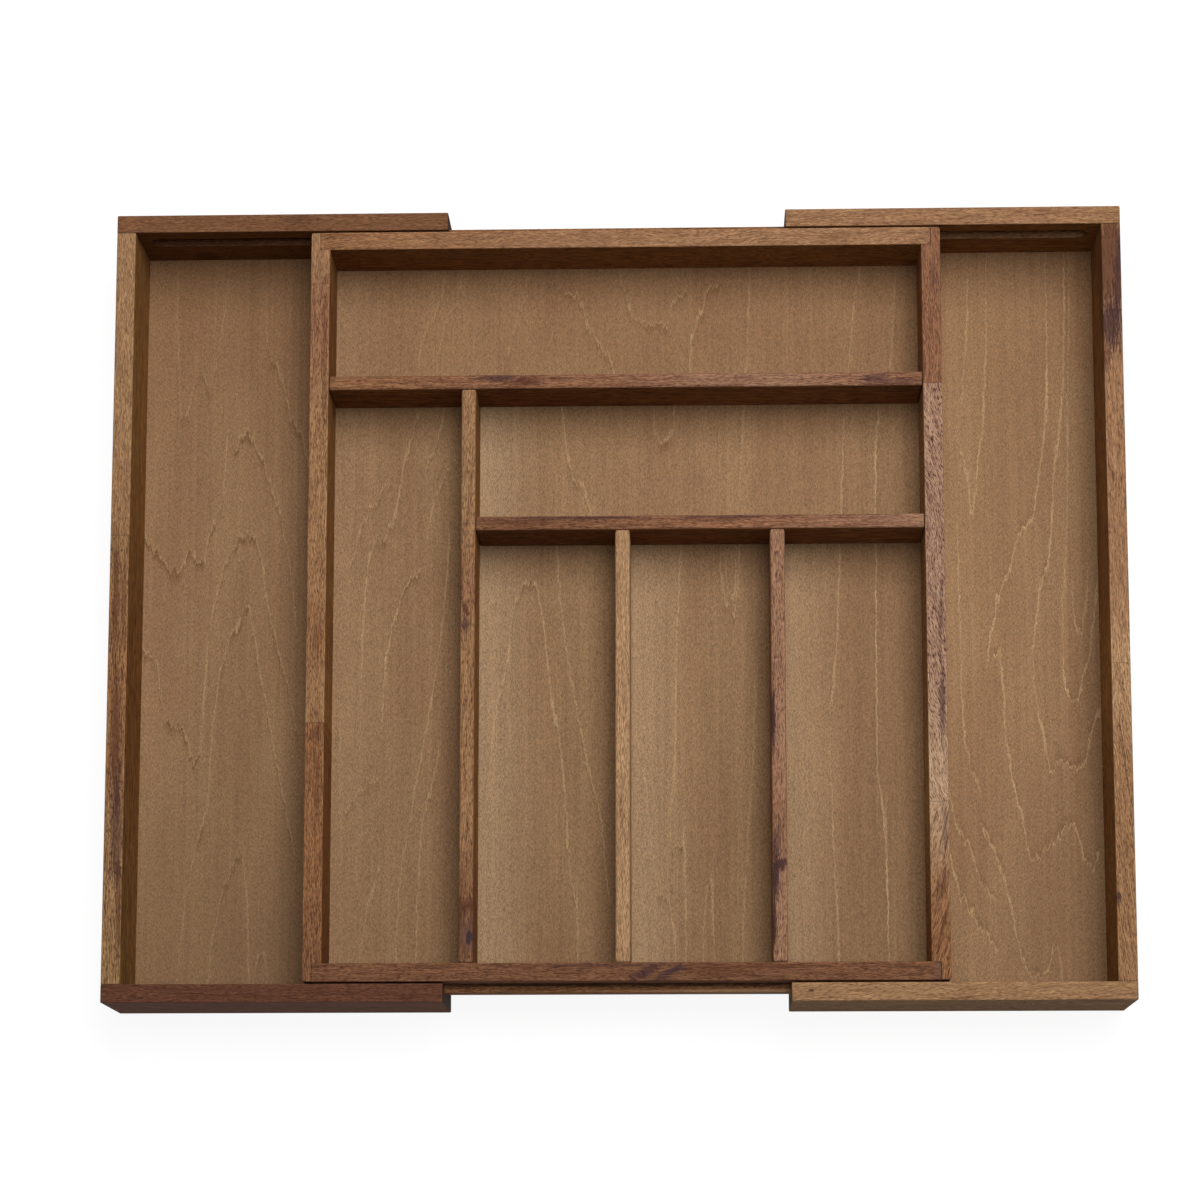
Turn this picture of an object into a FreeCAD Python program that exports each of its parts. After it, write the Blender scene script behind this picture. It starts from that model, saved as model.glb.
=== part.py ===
import FreeCAD, Part
import Sketcher
import math
import os

# Expandable wooden cutlery tray: a divided centre tray between two wings that slide out on runners.
# Millimetres, +Z up, +X to the right, +Y to the rear. The origin is on the table, under the middle
# of the tray as it stands with its wings drawn out.

# Driving dimensions: name, value and what it measures
DIMENSIONS = (
    ("wing_depth", "440", "wings, front to rear over the rails"),
    ("wing_height", "60", "rim above the table"),
    ("wing_side_thickness", "10.5", "side board of a wing"),
    ("rail_thickness", "10", "front and rear rails of a wing"),
    ("wing_floor_thickness", "4", "plywood floor of a wing"),
    ("wing_floor_lift", "7.5", "underside of a wing's floor above the table"),
    ("wing_floor_inset", "1", "free edge of a wing's floor behind the ends of its rails"),
    ("left_extension", "97.5", "left wing as it stands, drawn out from closed"),
    ("right_extension", "88.2", "right wing as it stands, drawn out from closed"),
    ("centre_width", "348", "centre tray over its side boards"),
    ("centre_side_thickness", "10.5", "side boards of the centre tray"),
    ("centre_wall_thickness", "10", "front and rear walls of the centre tray"),
    ("centre_floor_thickness", "4", "plywood floor of the centre tray"),
    ("centre_floor_lift", "6", "underside of the centre floor above the walls' lower edges"),
    ("rabbet_depth", "5.5", "rebate in a side board that takes the end of a wall"),
    ("left_compartment_width", "73.5", "long compartment on the left"),
    ("rear_compartment_depth", "72", "wide compartment at the rear"),
    ("middle_compartment_depth", "72", "compartment behind the three front ones"),
    ("divider_thickness", "8", "all dividers"),
    ("divider_drop", "1", "top of the dividers below the rim"),
    ("floor_groove_depth", "4", "groove in the boards that holds a floor"),
    ("panel_clearance", "0.1", "floor panel in its groove, on each side"),
    ("slide_gap", "1", "centre wall to rail, front and rear"),
    ("under_clearance", "1.2", "centre tray above the floors of the wings"),
    ("stop_gap", "0.5", "wing side to centre tray when closed"),
    ("rail_end_gap", "1", "between the rails of the two wings when closed"),
    ("rail_groove_drop", "11.25", "top of the rail's groove below the rim"),
    ("rail_groove_depth", "4.5", "rail's groove into the rail"),
    ("groove_end_land", "6", "round end of the rail's groove to the wing side"),
    ("runner_height", "12", "strip that runs in the rail's groove"),
    ("runner_clearance", "0.25", "runner in its groove, above and below"),
    ("runner_tip_clearance", "0.4", "runner to the bottom of its groove"),
    ("runner_end_clearance", "2.25", "runner's end to the rounding of its groove when closed"),
    ("runner_seat_depth", "2", "housing in the centre wall that holds the runner"),
    ("rim_radius", "0.7", "eased edges along the rims"),
    ("corner_radius", "1.5", "rounded upright corners of the centre tray"),
    ("divider_radius", "1.5", "rounded upper and end edges of the dividers"),
    ("runner_radius", "1", "eased outer edges of the runners"),
)

# Sizes and places that follow from the driving dimensions
CENTRE_X = "((dims.left_extension - dims.right_extension) / 2)"
CENTRE_DEPTH = "(dims.wing_depth - 2 * (dims.rail_thickness + dims.slide_gap))"
CENTRE_BASE = "(dims.wing_floor_lift + dims.wing_floor_thickness + dims.under_clearance)"
CENTRE_HEIGHT = f"(dims.wing_height - {CENTRE_BASE})"
CENTRE_FLOOR_TOP = f"({CENTRE_BASE} + dims.centre_floor_lift + dims.centre_floor_thickness)"
INNER_WIDTH = "(dims.centre_width - 2 * dims.centre_side_thickness)"
INNER_DEPTH = f"({CENTRE_DEPTH} - 2 * dims.centre_wall_thickness)"
WALL_LENGTH = f"({INNER_WIDTH} + 2 * dims.rabbet_depth)"
DIVIDER_HEIGHT = f"(dims.wing_height - dims.divider_drop - {CENTRE_FLOOR_TOP})"
RAIL_INNER = "(dims.wing_depth / 2 - dims.rail_thickness)"
WING_REACH = "(dims.centre_width / 2 + dims.stop_gap)"
RAIL_FREE_END = f"(dims.rail_end_gap / 2 - {WING_REACH})"
GROOVE_HEIGHT = "(dims.runner_height + 2 * dims.runner_clearance)"
GROOVE_TOP = "(dims.wing_height - dims.rail_groove_drop)"
GROOVE_ROUND = f"(-dims.groove_end_land - {GROOVE_HEIGHT} / 2)"
RUNNER_LENGTH = f"(2 * ({WING_REACH} + {GROOVE_ROUND} - dims.runner_end_clearance))"
RUNNER_BASE = f"({GROOVE_TOP} - dims.runner_clearance - dims.runner_height)"
RUNNER_THICKNESS = (
    "(dims.runner_seat_depth + dims.slide_gap + dims.rail_groove_depth - dims.runner_tip_clearance)"
)

LENGTH_TOLERANCE = 1e-6

doc = FreeCAD.newDocument("cutlery_tray")
dims = doc.addObject("Spreadsheet::Sheet", "dims")
for row, (alias, number, meaning) in enumerate(DIMENSIONS, 1):
    dims.set(f"A{row}", meaning)
    dims.set(f"B{row}", number)
    dims.setAlias(f"B{row}", alias)
doc.recompute()


def value(expression):
    """Number that an expression over the driving dimensions stands for."""
    return float(dims.evalExpression(expression))


def new_sketch(body, name, plane, lift=None):
    """Empty sketch on one of the body's own planes, or lifted off it along its normal."""
    sketch = body.newObject("Sketcher::SketchObject", name)
    support = [feature for feature in body.Origin.OriginFeatures if feature.Role == plane][0]
    sketch.AttachmentSupport = (support, "")
    sketch.MapMode = "FlatFace"
    if lift:
        sketch.setExpression("AttachmentOffset.Base.z", lift)
    return sketch


def tie(sketch, kind, line, point, expression):
    """Hold a point of a line or an arc at a distance from the sketch's origin."""
    constraint = Sketcher.Constraint(kind, -1, 1, line, point, value(expression))
    index = sketch.addConstraint(constraint)
    sketch.setExpression(f"Constraints[{index}]", expression)


def add_outline(sketch, corners):
    """Closed outline of level and upright lines, with corners as (across, up) expressions."""
    points = [FreeCAD.Vector(value(across), value(up), 0) for across, up in corners]
    first = sketch.GeometryCount
    count = len(points)
    for index in range(count):
        sketch.addGeometry(Part.LineSegment(points[index], points[(index + 1) % count]))
    for index in range(count):
        line = first + index
        following = first + (index + 1) % count
        sketch.addConstraint(Sketcher.Constraint("Coincident", line, 2, following, 1))
        across, up = corners[index]
        if corners[(index + 1) % count][0] == across:
            sketch.addConstraint(Sketcher.Constraint("Vertical", line))
            tie(sketch, "DistanceX", line, 1, across)
        else:
            sketch.addConstraint(Sketcher.Constraint("Horizontal", line))
            tie(sketch, "DistanceY", line, 1, up)


def add_rectangle(sketch, left, low, right, high):
    """Closed rectangle between two opposite corners."""
    add_outline(sketch, ((left, low), (right, low), (right, high), (left, high)))


def add_stopped_groove(sketch, open_end, round_centre, low, high):
    """Outline of a routed groove that is open at one end and fully round at the other."""
    start, stop, bottom, top = map(value, (open_end, round_centre, low, high))
    circle = Part.Circle(
        FreeCAD.Vector(stop, (bottom + top) / 2, 0), FreeCAD.Vector(0, 0, 1), (top - bottom) / 2
    )
    lower = sketch.addGeometry(
        Part.LineSegment(FreeCAD.Vector(start, bottom, 0), FreeCAD.Vector(stop, bottom, 0))
    )
    round_end = sketch.addGeometry(Part.ArcOfCircle(circle, -math.pi / 2, math.pi / 2))
    upper = sketch.addGeometry(
        Part.LineSegment(FreeCAD.Vector(stop, top, 0), FreeCAD.Vector(start, top, 0))
    )
    mouth = sketch.addGeometry(
        Part.LineSegment(FreeCAD.Vector(start, top, 0), FreeCAD.Vector(start, bottom, 0))
    )
    sketch.addConstraint(Sketcher.Constraint("Tangent", lower, 2, round_end, 1))
    sketch.addConstraint(Sketcher.Constraint("Tangent", round_end, 2, upper, 1))
    sketch.addConstraint(Sketcher.Constraint("Coincident", upper, 2, mouth, 1))
    sketch.addConstraint(Sketcher.Constraint("Coincident", mouth, 2, lower, 1))
    sketch.addConstraint(Sketcher.Constraint("Horizontal", lower))
    sketch.addConstraint(Sketcher.Constraint("Horizontal", upper))
    sketch.addConstraint(Sketcher.Constraint("Vertical", mouth))
    tie(sketch, "DistanceX", mouth, 1, open_end)
    tie(sketch, "DistanceX", round_end, 3, round_centre)
    tie(sketch, "DistanceY", lower, 1, low)
    tie(sketch, "DistanceY", upper, 1, high)


def add_feature(body, kind, name, sketch, length, reverse):
    """Pad or pocket of a sketch, square to its plane."""
    feature = body.newObject(f"PartDesign::{kind}", name)
    feature.Profile = sketch
    feature.setExpression("Length", length)
    feature.Reversed = reverse
    doc.recompute()
    return feature


def pad(body, sketch, length, reverse=False):
    """Board of a given length from its sketch."""
    return add_feature(body, "Pad", "Board", sketch, length, reverse)


def pocket(body, sketch, depth, reverse=False):
    """Cut into the board, with a check that wood is removed."""
    before = body.Shape.Volume
    feature = add_feature(body, "Pocket", f"Cut{sketch.Name}", sketch, depth, reverse)
    if body.Shape.Volume > before - LENGTH_TOLERANCE:
        raise RuntimeError(f"{body.Label}: {sketch.Label} removes nothing")
    return feature


def ease(body, radius, chosen):
    """Round the edges of the board for which chosen(edge, box of the board) holds."""
    base = body.Tip
    box = base.Shape.BoundBox
    names = [
        f"Edge{number}" for number, edge in enumerate(base.Shape.Edges, 1) if chosen(edge, box)
    ]
    fillet = body.newObject("PartDesign::Fillet", "Eased")
    fillet.Base = (base, names)
    fillet.setExpression("Radius", radius)
    doc.recompute()


def near(first, second):
    """Whether two lengths are the same."""
    return abs(first - second) < LENGTH_TOLERANCE


def is_top(edge, box):
    """Edge that lies in the top of the board."""
    return all(near(vertex.Z, box.ZMax) for vertex in edge.Vertexes)


def is_upright(edge, box):
    """Edge that stands up over the whole height of the board."""
    return near(edge.BoundBox.ZLength, box.ZLength)


def is_top_or_upright(edge, box):
    """Edge of a board's top or of its upright corners."""
    return is_top(edge, box) or is_upright(edge, box)


def is_long_top(edge, box):
    """Edge in the top that runs the whole length of the board."""
    longest = max(box.XLength, box.YLength)
    return is_top(edge, box) and near(edge.Length, longest)


def is_outer_upright(edge, box):
    """Upright edge on the face away from the compartments, which is the far side in X."""
    return is_upright(edge, box) and near(edge.BoundBox.XMin, box.XMax)


def is_outside_runner(edge, box):
    """Edge of a runner's outer face, which is the far side in Y."""
    return near(edge.BoundBox.YMin, box.YMax)


def new_body(label):
    """Empty sub-part with its label."""
    body = doc.addObject("PartDesign::Body", label)
    body.Label = label
    return body


def place(body, across, along, up, turn=0):
    """Put a sub-part at its place in the tray, turned about the upright axis."""
    body.Placement = FreeCAD.Placement(
        FreeCAD.Vector(), FreeCAD.Rotation(FreeCAD.Vector(0, 0, 1), turn)
    )
    body.setExpression("Placement.Base.x", across)
    body.setExpression("Placement.Base.y", along)
    body.setExpression("Placement.Base.z", up)


def grooved_corners(thickness, height, floor_lift, floor_thickness):
    """Section of a board with a floor groove in its inner face, which is at 0 across."""
    low = f"{floor_lift} - dims.panel_clearance"
    high = f"{floor_lift} + {floor_thickness} + dims.panel_clearance"
    depth = "dims.floor_groove_depth"
    inner = "0"
    return (
        (inner, "0"), (thickness, "0"), (thickness, height), (inner, height),
        (inner, high), (depth, high), (depth, low), (inner, low),
    )


def make_wing_side(label, x_place, turn, facing):
    """Side board of a wing, between the rails, with a groove for the floor."""
    body = new_body(label)
    sketch = new_sketch(body, "Section", "XZ_Plane")
    add_outline(sketch, grooved_corners(
        "dims.wing_side_thickness", "dims.wing_height",
        "dims.wing_floor_lift", "dims.wing_floor_thickness",
    ))
    pad(body, sketch, f"2 * {RAIL_INNER}")
    ease(body, "dims.rim_radius", is_long_top)
    place(body, x_place, f"{facing} * {RAIL_INNER}", "0", turn)
    return body


def make_rail(label, x_place, y_place, turn, outward):
    """Rail of a wing: its inner face has the runner's stopped groove and the floor's groove."""
    body = new_body(label)
    to_rear = outward > 0
    face = new_sketch(body, "Face", "XZ_Plane")
    add_rectangle(face, RAIL_FREE_END, "0", "dims.wing_side_thickness", "dims.wing_height")
    pad(body, face, "dims.rail_thickness", reverse=to_rear)
    ease(body, "dims.rim_radius", is_top_or_upright)
    floor_groove = new_sketch(body, "FloorGroove", "XZ_Plane")
    add_rectangle(
        floor_groove,
        RAIL_FREE_END, "dims.wing_floor_lift - dims.panel_clearance",
        "dims.floor_groove_depth",
        "dims.wing_floor_lift + dims.wing_floor_thickness + dims.panel_clearance",
    )
    pocket(body, floor_groove, "dims.floor_groove_depth", reverse=not to_rear)
    runner_groove = new_sketch(body, "RunnerGroove", "XZ_Plane")
    add_stopped_groove(
        runner_groove, RAIL_FREE_END, GROOVE_ROUND, f"{GROOVE_TOP} - {GROOVE_HEIGHT}", GROOVE_TOP
    )
    pocket(body, runner_groove, "dims.rail_groove_depth", reverse=not to_rear)
    place(body, x_place, y_place, "0", turn)
    return body


def make_wing_floor(label, x_place, turn):
    """Plywood floor of a wing, in the grooves of its side and rails, free towards the centre."""
    body = new_body(label)
    half = f"({RAIL_INNER} + dims.floor_groove_depth - dims.panel_clearance)"
    sketch = new_sketch(body, "Panel", "XY_Plane")
    add_rectangle(
        sketch,
        f"{RAIL_FREE_END} + dims.wing_floor_inset", f"-{half}",
        "dims.floor_groove_depth - dims.panel_clearance", half,
    )
    pad(body, sketch, "dims.wing_floor_thickness")
    place(body, x_place, "0", "dims.wing_floor_lift", turn)
    return body


def make_wing(name, facing, turn):
    """The four boards of a wing. Facing is 1 for the right wing and -1 for the left."""
    x_place = f"{CENTRE_X} + {facing} * ({WING_REACH} + dims.{name}_extension)"
    boards = [
        make_wing_side(f"{name}_wing_side", x_place, turn, facing),
        make_wing_floor(f"{name}_wing_floor", x_place, turn),
    ]
    for end, to_rear in (("rear", 1), ("front", -1)):
        y_place = f"{to_rear} * {RAIL_INNER}"
        label = f"{name}_wing_{end}_rail"
        boards.append(make_rail(label, x_place, y_place, turn, to_rear * facing))
    return boards


def make_centre_side(label, facing, turn):
    """Side board of the centre tray: floor groove, rounded corners and a rebate at both ends."""
    body = new_body(label)
    section = new_sketch(body, "Section", "XZ_Plane")
    add_outline(section, grooved_corners(
        "dims.centre_side_thickness", CENTRE_HEIGHT,
        "dims.centre_floor_lift", "dims.centre_floor_thickness",
    ))
    pad(body, section, CENTRE_DEPTH)
    ease(body, "dims.corner_radius", is_outer_upright)
    ease(body, "dims.rim_radius", is_top)
    rebates = new_sketch(body, "Rebates", "XY_Plane")
    for near_end, far_end in (
        ("0", "-dims.centre_wall_thickness"),
        (f"dims.centre_wall_thickness - {CENTRE_DEPTH}", f"-{CENTRE_DEPTH}"),
    ):
        add_rectangle(rebates, "0", far_end, "dims.rabbet_depth", near_end)
    pocket(body, rebates, CENTRE_HEIGHT, reverse=True)
    place(
        body, f"{CENTRE_X} + {facing} * {INNER_WIDTH} / 2", f"{facing} * {CENTRE_DEPTH} / 2",
        CENTRE_BASE, turn,
    )
    return body


def make_centre_wall(label, facing, turn):
    """Front or rear wall of the centre tray: floor groove inside, housing for the runner outside."""
    body = new_body(label)
    section = new_sketch(body, "Section", "YZ_Plane")
    add_outline(section, grooved_corners(
        "dims.centre_wall_thickness", CENTRE_HEIGHT,
        "dims.centre_floor_lift", "dims.centre_floor_thickness",
    ))
    pad(body, section, WALL_LENGTH)
    ease(body, "dims.rim_radius", is_long_top)
    housing = new_sketch(body, "Housing", "XZ_Plane", lift="-dims.centre_wall_thickness")
    low = f"{RUNNER_BASE} - {CENTRE_BASE}"
    add_rectangle(
        housing,
        f"({WALL_LENGTH} - {RUNNER_LENGTH}) / 2", low,
        f"({WALL_LENGTH} + {RUNNER_LENGTH}) / 2", f"{low} + dims.runner_height",
    )
    pocket(body, housing, "dims.runner_seat_depth", reverse=True)
    place(
        body, f"{CENTRE_X} - {facing} * {WALL_LENGTH} / 2", f"{facing} * {INNER_DEPTH} / 2",
        CENTRE_BASE, turn,
    )
    return body


def make_runner(label, facing, turn):
    """Strip that is glued in the housing of a centre wall and runs in the rails' grooves."""
    body = new_body(label)
    sketch = new_sketch(body, "Face", "XZ_Plane")
    add_rectangle(sketch, "0", "0", RUNNER_LENGTH, "dims.runner_height")
    pad(body, sketch, RUNNER_THICKNESS, reverse=True)
    ease(body, "dims.runner_radius", is_outside_runner)
    place(
        body, f"{CENTRE_X} - {facing} * {RUNNER_LENGTH} / 2",
        f"{facing} * ({CENTRE_DEPTH} / 2 - dims.runner_seat_depth)", RUNNER_BASE, turn,
    )
    return body


def make_centre_floor(label):
    """Plywood floor of the centre tray, held all round in the walls' grooves."""
    body = new_body(label)
    half_width = f"({INNER_WIDTH} / 2 + dims.floor_groove_depth - dims.panel_clearance)"
    half_depth = f"({INNER_DEPTH} / 2 + dims.floor_groove_depth - dims.panel_clearance)"
    sketch = new_sketch(body, "Panel", "XY_Plane")
    add_rectangle(sketch, f"-{half_width}", f"-{half_depth}", half_width, half_depth)
    pad(body, sketch, "dims.centre_floor_thickness")
    place(body, CENTRE_X, "0", f"{CENTRE_BASE} + dims.centre_floor_lift")
    return body


def make_divider(label, across, along, length, turn):
    """Divider that stands on the floor between two boards, from the middle of its first end."""
    body = new_body(label)
    sketch = new_sketch(body, "Plan", "XY_Plane")
    half = "dims.divider_thickness / 2"
    add_rectangle(sketch, "0", f"-{half}", length, half)
    pad(body, sketch, DIVIDER_HEIGHT)
    ease(body, "dims.divider_radius", is_top_or_upright)
    place(body, f"{CENTRE_X} + {across}", along, CENTRE_FLOOR_TOP, turn)
    return body


def make_dividers():
    """Two cross dividers, and three that run to the front wall."""
    left_wall = f"(-{INNER_WIDTH} / 2)"
    right_wall = f"({INNER_WIDTH} / 2)"
    rear_wall = f"({INNER_DEPTH} / 2)"
    front_wall = f"(-{INNER_DEPTH} / 2)"
    half = "dims.divider_thickness / 2"
    long_y = f"({rear_wall} - dims.rear_compartment_depth - {half})"
    short_y = f"({long_y} - dims.divider_thickness - dims.middle_compartment_depth)"
    tall_x = f"({left_wall} + dims.left_compartment_width + {half})"
    short_left = f"({tall_x} + {half})"
    cell = f"(({right_wall} - {short_left} - 2 * dims.divider_thickness) / 3)"
    dividers = [
        make_divider("long_cross_divider", left_wall, long_y, INNER_WIDTH, 0),
        make_divider("short_cross_divider", short_left, short_y, f"{right_wall} - {short_left}", 0),
        make_divider("tall_divider", tall_x, front_wall, f"{long_y} - {half} - {front_wall}", 90),
    ]
    for passed, name in enumerate(("left", "right")):
        short_x = f"{short_left} + {passed + 1} * {cell} + {passed} * dims.divider_thickness + {half}"
        length = f"{short_y} - {half} - {front_wall}"
        dividers.append(make_divider(f"{name}_short_divider", short_x, front_wall, length, 90))
    return dividers


def make_centre_tray():
    """Walls, runners, floor and dividers of the centre tray."""
    boards = [make_centre_floor("centre_floor")] + make_dividers()
    for name, facing, turn in (("right", 1, 0), ("left", -1, 180)):
        boards.append(make_centre_side(f"centre_{name}_side", facing, turn))
    for name, facing, turn in (("rear", 1, 0), ("front", -1, 180)):
        boards.append(make_centre_wall(f"centre_{name}_wall", facing, turn))
        boards.append(make_runner(f"{name}_runner", facing, turn))
    return boards


def check_and_write(sub_parts):
    """Stop on any failed object, then write each sub-part to its own file."""
    doc.recompute()
    for item in doc.Objects:
        if "Invalid" in item.State or "Error" in item.State:
            raise RuntimeError(f"{item.Label} failed: {item.State}")
    for body in sub_parts:
        shape = body.Shape
        if shape.isNull() or not shape.isValid() or len(shape.Solids) != 1:
            raise RuntimeError(f"{body.Label} is not one sound solid")
    os.makedirs("parts", exist_ok=True)
    for body in sub_parts:
        body.Shape.exportStep(f"parts/{body.Label}.step")


check_and_write(make_centre_tray() + make_wing("right", 1, 0) + make_wing("left", -1, 180))
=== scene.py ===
import math
from dataclasses import dataclass

import bpy
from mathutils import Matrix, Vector


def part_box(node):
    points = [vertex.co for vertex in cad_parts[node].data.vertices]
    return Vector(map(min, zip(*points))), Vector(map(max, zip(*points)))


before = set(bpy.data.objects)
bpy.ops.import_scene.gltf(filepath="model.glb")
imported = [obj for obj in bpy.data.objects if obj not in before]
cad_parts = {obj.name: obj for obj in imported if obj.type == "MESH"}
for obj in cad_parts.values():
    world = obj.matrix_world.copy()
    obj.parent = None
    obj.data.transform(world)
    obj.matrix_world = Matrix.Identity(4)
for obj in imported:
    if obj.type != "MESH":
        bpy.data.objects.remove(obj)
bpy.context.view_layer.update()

# Scene sizes are in metres. Places and sizes of marks in the wood are in millimetres in the part's frame.
MM = 0.001

# Camera: high above the front edge and a little to the right. The lens is shifted, so that the tray stands
# upright in the picture.
CAMERA_PLACE = (0.044, -0.3955, 1.8173)
CAMERA_TILT = math.radians(8.5)
CAMERA_LEAN = math.radians(1.73)
CAMERA_LENS = 99.0
CAMERA_SHIFT = 0.2

# White floor: its size and its drop below the tray, how white it is to the tray, and where it is seen, its
# glow, the distances over which that rises to full white, and how much light shows the shadow
FLOOR_SIZE = 12.0
FLOOR_DROP = 0.0004
FLOOR_WHITE = 0.3
FLOOR_GLOW = 0.91
FLOOR_FAR = (1.0, 4.0)
FLOOR_SHADOW = 0.15


@dataclass
class Lamp:
    """A soft rectangular lamp that faces the point aim"""
    place: tuple
    aim: tuple
    width: float
    depth: float
    power: float


# A wide lamp above and behind the tray, weak ones above the front, on both sides and low in front, and
# faint light all round
LAMPS = {
    "softbox": Lamp((0.584, 1.15, 2.8), (0.584, 1.15, 0.0), 1.552, 2.3, 79.7),
    "front_fill": Lamp((0.3, -0.45, 2.8), (0.3, -0.45, 0.0), 1.2, 0.5, 10.4),
    "right_fill": Lamp((2.2, 0.5, 2.2), (0.0, 0.0, 0.0), 1.0, 1.0, 12.1),
    "left_fill": Lamp((-1.7, 0.4, 1.0), (0.0, 0.0, 0.0), 1.0, 1.0, 4.0),
    "front_card": Lamp((0.0, -1.6, 0.03), (0.0, 0.0, 0.03), 2.4, 0.05, 0.8),
}
ROOM_LIGHT = 0.03


def linear(red, green, blue):
    """A colour written in screen values from 0 to 255, as the shader takes it"""
    def channel(value):
        value = value / 255
        return value / 12.92 if value <= 0.04045 else ((value + 0.055) / 1.055) ** 2.4
    return (channel(red), channel(green), channel(blue), 1.0)


@dataclass
class Noise:
    """A soft noise: the sizes of its lumps in mm along three axes, its fineness, and its own seed

    With a span, that part of its range is stretched to run from 0 to 1.
    """
    lumps: tuple
    detail: float
    seed: float
    span: tuple = None


NOISE_MIDDLE = 0.5
WOOD_GLOSS = 0.12


class Field:
    """A value that varies over a surface. Arithmetic on it adds nodes to its graph."""

    def __init__(self, graph, socket):
        self.graph = graph
        self.socket = socket

    def __add__(self, other):
        return self.graph.math("ADD", self, other)

    def __sub__(self, other):
        return self.graph.math("SUBTRACT", self, other)

    def __rsub__(self, other):
        return self.graph.math("SUBTRACT", other, self)

    def __mul__(self, other):
        return self.graph.math("MULTIPLY", self, other)

    def __truediv__(self, other):
        return self.graph.math("DIVIDE", self, other)

    def __abs__(self):
        return self.graph.math("ABSOLUTE", self)

    def __gt__(self, other):
        return self.graph.math("GREATER_THAN", self, other)

    __radd__ = __add__
    __rmul__ = __mul__


class Graph:
    """The nodes of one material"""

    def __init__(self, name):
        self.material = bpy.data.materials.new(name)
        self.material.use_nodes = True
        self.tree = self.material.node_tree
        self.shader = self.tree.nodes["Principled BSDF"]

    def feed(self, socket, value):
        """Gives a socket a field, or else a plain value"""
        if isinstance(value, Field):
            self.tree.links.new(value.socket, socket)
        else:
            socket.default_value = value

    def add(self, kind, inputs, output=0, **settings):
        node = self.tree.nodes.new("ShaderNode" + kind)
        for name, setting in settings.items():
            setattr(node, name, setting)
        for key, value in inputs.items():
            self.feed(node.inputs[key], value)
        return Field(self, node.outputs[output])

    def math(self, operation, *values):
        return self.add("Math", dict(enumerate(values)), operation=operation)

    def split(self, vector):
        node = self.tree.nodes.new("ShaderNodeSeparateXYZ")
        self.feed(node.inputs[0], vector)
        return [Field(self, output) for output in node.outputs]

    def place(self):
        """Where a point lies in the part's frame, as x, y and z in millimetres"""
        point = self.add("TexCoord", {}, output="Object")
        return self.split(self.add("VectorMath", {0: point, "Scale": 1 / MM}, operation="SCALE"))

    def normal(self):
        """Which way a surface faces, as x, y and z"""
        return self.split(self.add("TexCoord", {}, output="Normal"))

    def noise(self, point, kind, seed):
        """One kind of noise at a point that is given by its three places"""
        parts = [axis / size + (seed + kind.seed) for axis, size in zip(point, kind.lumps)]
        vector = self.add("CombineXYZ", dict(enumerate(parts)))
        value = self.add("TexNoise", {"Vector": vector, "Scale": 1.0, "Detail": kind.detail})
        return self.rise(value, *kind.span) if kind.span else value

    def rise(self, value, start, end):
        """0 up to start, 1 from end on, smooth between them"""
        inputs = {"Value": value, "From Min": start, "From Max": end}
        return self.add("MapRange", inputs, interpolation_type="SMOOTHSTEP")

    def blend(self, share, first, second):
        return self.add("Mix", {0: share, 2: first, 3: second}, data_type="FLOAT")

    def tint(self, share, first, second, blend_type="MIX"):
        inputs = {0: share, 6: first, 7: second}
        return self.add("Mix", inputs, output=2, data_type="RGBA", blend_type=blend_type)

    def curve(self, place, points):
        """The second value of a smooth line through points, at a place along their first values"""
        places, heights = zip(*points)
        start, length = places[0], places[-1] - places[0]
        low, rise = min(heights), max(heights) - min(heights)
        node = self.tree.nodes.new("ShaderNodeFloatCurve")
        line = node.mapping.curves[0].points
        spots = [((spot - start) / length, (height - low) / rise) for spot, height in points]
        line[0].location, line[1].location = spots[0], spots[-1]
        for spot in spots[1:-1]:
            line.new(*spot)
        for point in line:
            point.handle_type = "AUTO_CLAMPED"
        node.mapping.update()
        self.feed(node.inputs["Value"], (place - start) / length)
        return Field(self, node.outputs[0]) * rise + low

    def shade(self, colour, strength):
        """A colour made darker or lighter by a field"""
        return self.add("VectorMath", {0: colour, "Scale": strength}, operation="SCALE")

    def finish(self, colour, roughness, height, relief):
        """Feeds the shader. The height runs from 0 to 1 and stands for that much relief."""
        inputs = {"Height": height, "Distance": relief, "Strength": 1.0}
        self.feed(self.shader.inputs["Base Color"], colour)
        self.feed(self.shader.inputs["Roughness"], roughness)
        self.feed(self.shader.inputs["Normal"], self.add("Bump", inputs))
        self.shader.inputs["Specular IOR Level"].default_value = WOOD_GLOSS
        return self.material


@dataclass
class Tone:
    """One kind of acacia: its ground, the colour of its grain, and how strong its streaks and dashes are"""
    ground: tuple
    grain: tuple
    streaks: float
    dashes: float


PALE = Tone(linear(192, 160, 128), linear(122, 84, 62), 0.2, 0.65)
CREAM = Tone(linear(180, 143, 106), linear(118, 80, 52), 0.25, 0.6)
LIGHT_TAN = Tone(linear(164, 127, 91), linear(104, 68, 44), 0.35, 0.5)
WARM_TAN = Tone(linear(163, 123, 89), linear(98, 60, 40), 0.45, 0.5)
PINK_TAN = Tone(linear(174, 138, 111), linear(84, 48, 44), 0.3, 0.95)
PINK = Tone(linear(160, 121, 93), linear(96, 56, 46), 0.25, 0.7)
TAN = Tone(linear(162, 123, 86), linear(92, 54, 34), 0.4, 0.65)
OLIVE_TAN = Tone(linear(160, 126, 87), linear(88, 55, 34), 0.45, 0.65)
REDDISH = Tone(linear(149, 105, 76), linear(76, 42, 31), 0.5, 0.6)
RED_BROWN = Tone(linear(151, 106, 70), linear(72, 39, 26), 0.5, 0.65)
BROWN = Tone(linear(125, 86, 59), linear(76, 46, 29), 0.3, 0.4)
DARK_BROWN = Tone(linear(130, 89, 62), linear(60, 34, 25), 0.5, 0.55)
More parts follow.
